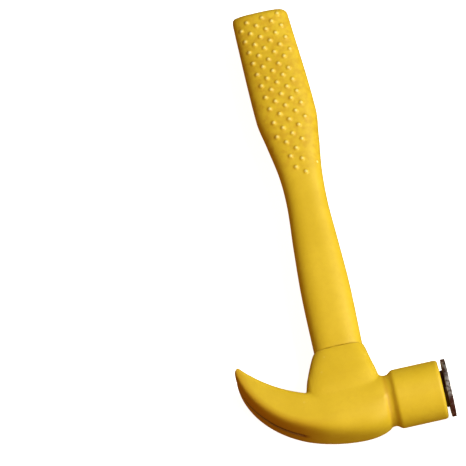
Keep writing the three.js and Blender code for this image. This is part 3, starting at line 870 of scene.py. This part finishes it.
def red_fibre(name):
    """Pressed fibre: dark maroon with redder fibres, with painted light in ochre on one side."""
    material = bpy.data.materials.new(name)
    material.use_nodes = True
    tree = material.node_tree
    shader = tree.nodes["Principled BSDF"]
    place = tree.nodes.new("ShaderNodeTexCoord").outputs["Object"]
    fibres = remapped(tree, noise(tree, place, 1.2, 4, 0.7), 0.4, 0.65, 0, 1)
    color = mixed(tree, fibres, (0.13, 0.018, 0.010), (0.26, 0.050, 0.020))
    # Painted light: the crown side is painted lighter ochre, as if lit.
    lit_side_paint = remapped(tree, place_along(tree, place, "Y", seam.y + axis_y * MM), -2, -6, 0, 0.8)
    color = mixed(tree, lit_side_paint, color, (0.55, 0.30, 0.03))
    tree.links.new(color, shader.inputs["Base Color"])
    tree.links.new(remapped(tree, fibres, 0, 1, 0.7, 0.9), shader.inputs["Roughness"])
    tree.links.new(bumped(tree, fibres, 0.08 * MM, 0.8), shader.inputs["Normal"])
    return material


spacer_back = (spacer_low.x - seam.x) / MM
spacer_front = (spacer_high.x - seam.x) / MM
spacer_profile = rounded_corners(
    [
        (spacer_back, SHANK_RADIUS + CLEARANCE),
        (spacer_back, SPACER_RADIUS),
        (spacer_front, SPACER_RADIUS),
        (spacer_front, SHANK_RADIUS + CLEARANCE),
    ],
    SPACER_ROUNDING,
)
spacer_shape = spun(spacer_profile, SPACER_SIDES, closed=True)
spacer_piece = finished(spacer_shape, "fibre_washer", red_fibre("red_fibre"))
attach(spacer_piece, "root")
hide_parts("disc_spacer")

# ---- Disc screw ----------------------------------------------------------------------------------
# A plated countersunk screw through the disc and spacer into the forging, with a hexagon socket for
# its key. The thread that the real one has on its shank is drawn as a row of ridges.
SCREW_SIDES = 96
KEY_HALF_ACROSS = 2.0
KEY_BEVEL = 0.1
KEY_DEPTH = 2.2
KEY_CONE_DEPTH = 0.6
THREAD_PITCH = 1.0
THREAD_DEPTH = 0.35
CREST_START, CREST_END = 0.42, 0.58
CREST_RADIUS = SHANK_RADIUS - 0.02
ROOT_RADIUS = SHANK_RADIUS - THREAD_DEPTH
TIP_RADIUS = 2.1
TIP_LENGTH = 0.5
PLAIN_LENGTH = 0.3
screw_tip = (screw_low.x - seam.x) / MM
head_under = sink_back - PLAIN_LENGTH


def plated_steel(name):
    """Dull zinc plate, scratched, darker in its hollows."""
    material = bpy.data.materials.new(name)
    material.use_nodes = True
    tree = material.node_tree
    shader = tree.nodes["Principled BSDF"]
    place = tree.nodes.new("ShaderNodeTexCoord").outputs["Object"]
    cloud = remapped(tree, noise(tree, place, 0.3, 3, 0.6), 0.4, 0.62, 0, 1)
    specks = remapped(tree, noise(tree, place, 2.0, 3, 0.6), 0.58, 0.72, 0, 0.7)
    color = mixed(tree, cloud, (0.33, 0.32, 0.30), (0.20, 0.18, 0.16))
    color = mixed(tree, specks, color, (0.05, 0.04, 0.03))
    edge = tree.nodes.new("ShaderNodeNewGeometry").outputs["Pointiness"]
    color = mixed(tree, remapped(tree, edge, 0.40, 0.485, 0.8, 0), color, (0.03, 0.025, 0.02))
    tree.links.new(color, shader.inputs["Base Color"])
    tree.links.new(remapped(tree, cloud, 0, 1, 0.28, 0.5), shader.inputs["Roughness"])
    shader.inputs["Metallic"].default_value = 0.9
    scratches = noise(tree, place, 1.5, 4, 0.7)
    tree.links.new(bumped(tree, scratches, 0.03 * MM, 0.6), shader.inputs["Normal"])
    return material


def hex_ring(x, half_across):
    """A hexagon about the poll's axis with its six corners among evenly turned points."""
    ring = []
    for k in range(SCREW_SIDES):
        angle = 2 * math.pi * k / SCREW_SIDES
        off_flat = (angle + math.pi / 6) % (math.pi / 3) - math.pi / 6
        radius = half_across / math.cos(off_flat)
        ring.append((x, axis_y + radius * math.cos(angle), radius * math.sin(angle)))
    return ring


def round_ring(x, radius):
    """A circle about the poll's axis."""
    ring = []
    for k in range(SCREW_SIDES):
        angle = 2 * math.pi * k / SCREW_SIDES
        ring.append((x, axis_y + radius * math.cos(angle), radius * math.sin(angle)))
    return ring


# The screw is drawn from its tip over the ridges to the rim of its head, and down into the hexagon.
# The rim's rounded edge is given as steps back from the front and in from the full radius.
HEAD_EDGE = [(0.15, 0.15), (0.05, 0.12), (0, 0.25)]
shank_line = [(screw_tip, TO_A_POINT), (screw_tip, TIP_RADIUS)]
thread_start = screw_tip + TIP_LENGTH
thread_turns = int((head_under - thread_start) / THREAD_PITCH)
for turn_index in range(thread_turns):
    for share, radius in ((0.0, ROOT_RADIUS), (CREST_START, CREST_RADIUS), (CREST_END, CREST_RADIUS)):
        shank_line.append((thread_start + (turn_index + share) * THREAD_PITCH, radius))
shank_line += [(head_under, ROOT_RADIUS), (sink_back, CREST_RADIUS)]
shank_line += [(screw_front - back, SCREW_HEAD_RADIUS - inward) for back, inward in HEAD_EDGE]
key_line = [
    (screw_front, KEY_HALF_ACROSS + KEY_BEVEL),
    (screw_front - KEY_BEVEL, KEY_HALF_ACROSS),
    (screw_front - KEY_DEPTH, KEY_HALF_ACROSS),
    (screw_front - KEY_DEPTH - KEY_CONE_DEPTH, TO_A_POINT),
]
screw_rings = [round_ring(x, radius) for x, radius in shank_line]
screw_rings += [hex_ring(x, half_across) for x, half_across in key_line]
screw_piece = finished(lofted(screw_rings), "socket_screw", plated_steel("plated_screw_steel"))
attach(screw_piece, "root")
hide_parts("disc_screw")

# ---- Steel inside the skins ----------------------------------------------------------------------
# The forging, the handle bar and the two pins that hold the bar in the eye. Nothing of them shows, so
# they keep their plain shapes and are given the look of scaled forging steel and plated pin steel.


def forged_steel(name):
    """Black scaled forging steel with brown heat marks and grey worn spots."""
    material = bpy.data.materials.new(name)
    material.use_nodes = True
    tree = material.node_tree
    shader = tree.nodes["Principled BSDF"]
    place = tree.nodes.new("ShaderNodeTexCoord").outputs["Object"]
    scale_marks = remapped(tree, noise(tree, place, 0.25, 4, 0.6), 0.38, 0.64, 0, 1)
    specks = remapped(tree, noise(tree, place, 1.4, 3, 0.6), 0.55, 0.72, 0, 0.6)
    color = mixed(tree, scale_marks, (0.10, 0.095, 0.09), (0.17, 0.13, 0.10))
    color = mixed(tree, specks, color, (0.30, 0.29, 0.28))
    tree.links.new(color, shader.inputs["Base Color"])
    tree.links.new(remapped(tree, scale_marks, 0, 1, 0.5, 0.75), shader.inputs["Roughness"])
    shader.inputs["Metallic"].default_value = 0.8
    tree.links.new(bumped(tree, scale_marks, 0.1 * MM, 0.6), shader.inputs["Normal"])
    return material


inner_looks = {
    "core_steel": (forged_steel("forged_core_steel"), ("head_core", "handle_core")),
    "screw_steel": (plated_steel("plated_pin_steel"), ("tang_pin_upper", "tang_pin_lower")),
}
for material, nodes in inner_looks.values():
    for node in nodes:
        for mesh_slot in bpy.data.objects[node].material_slots:
            mesh_slot.material = material
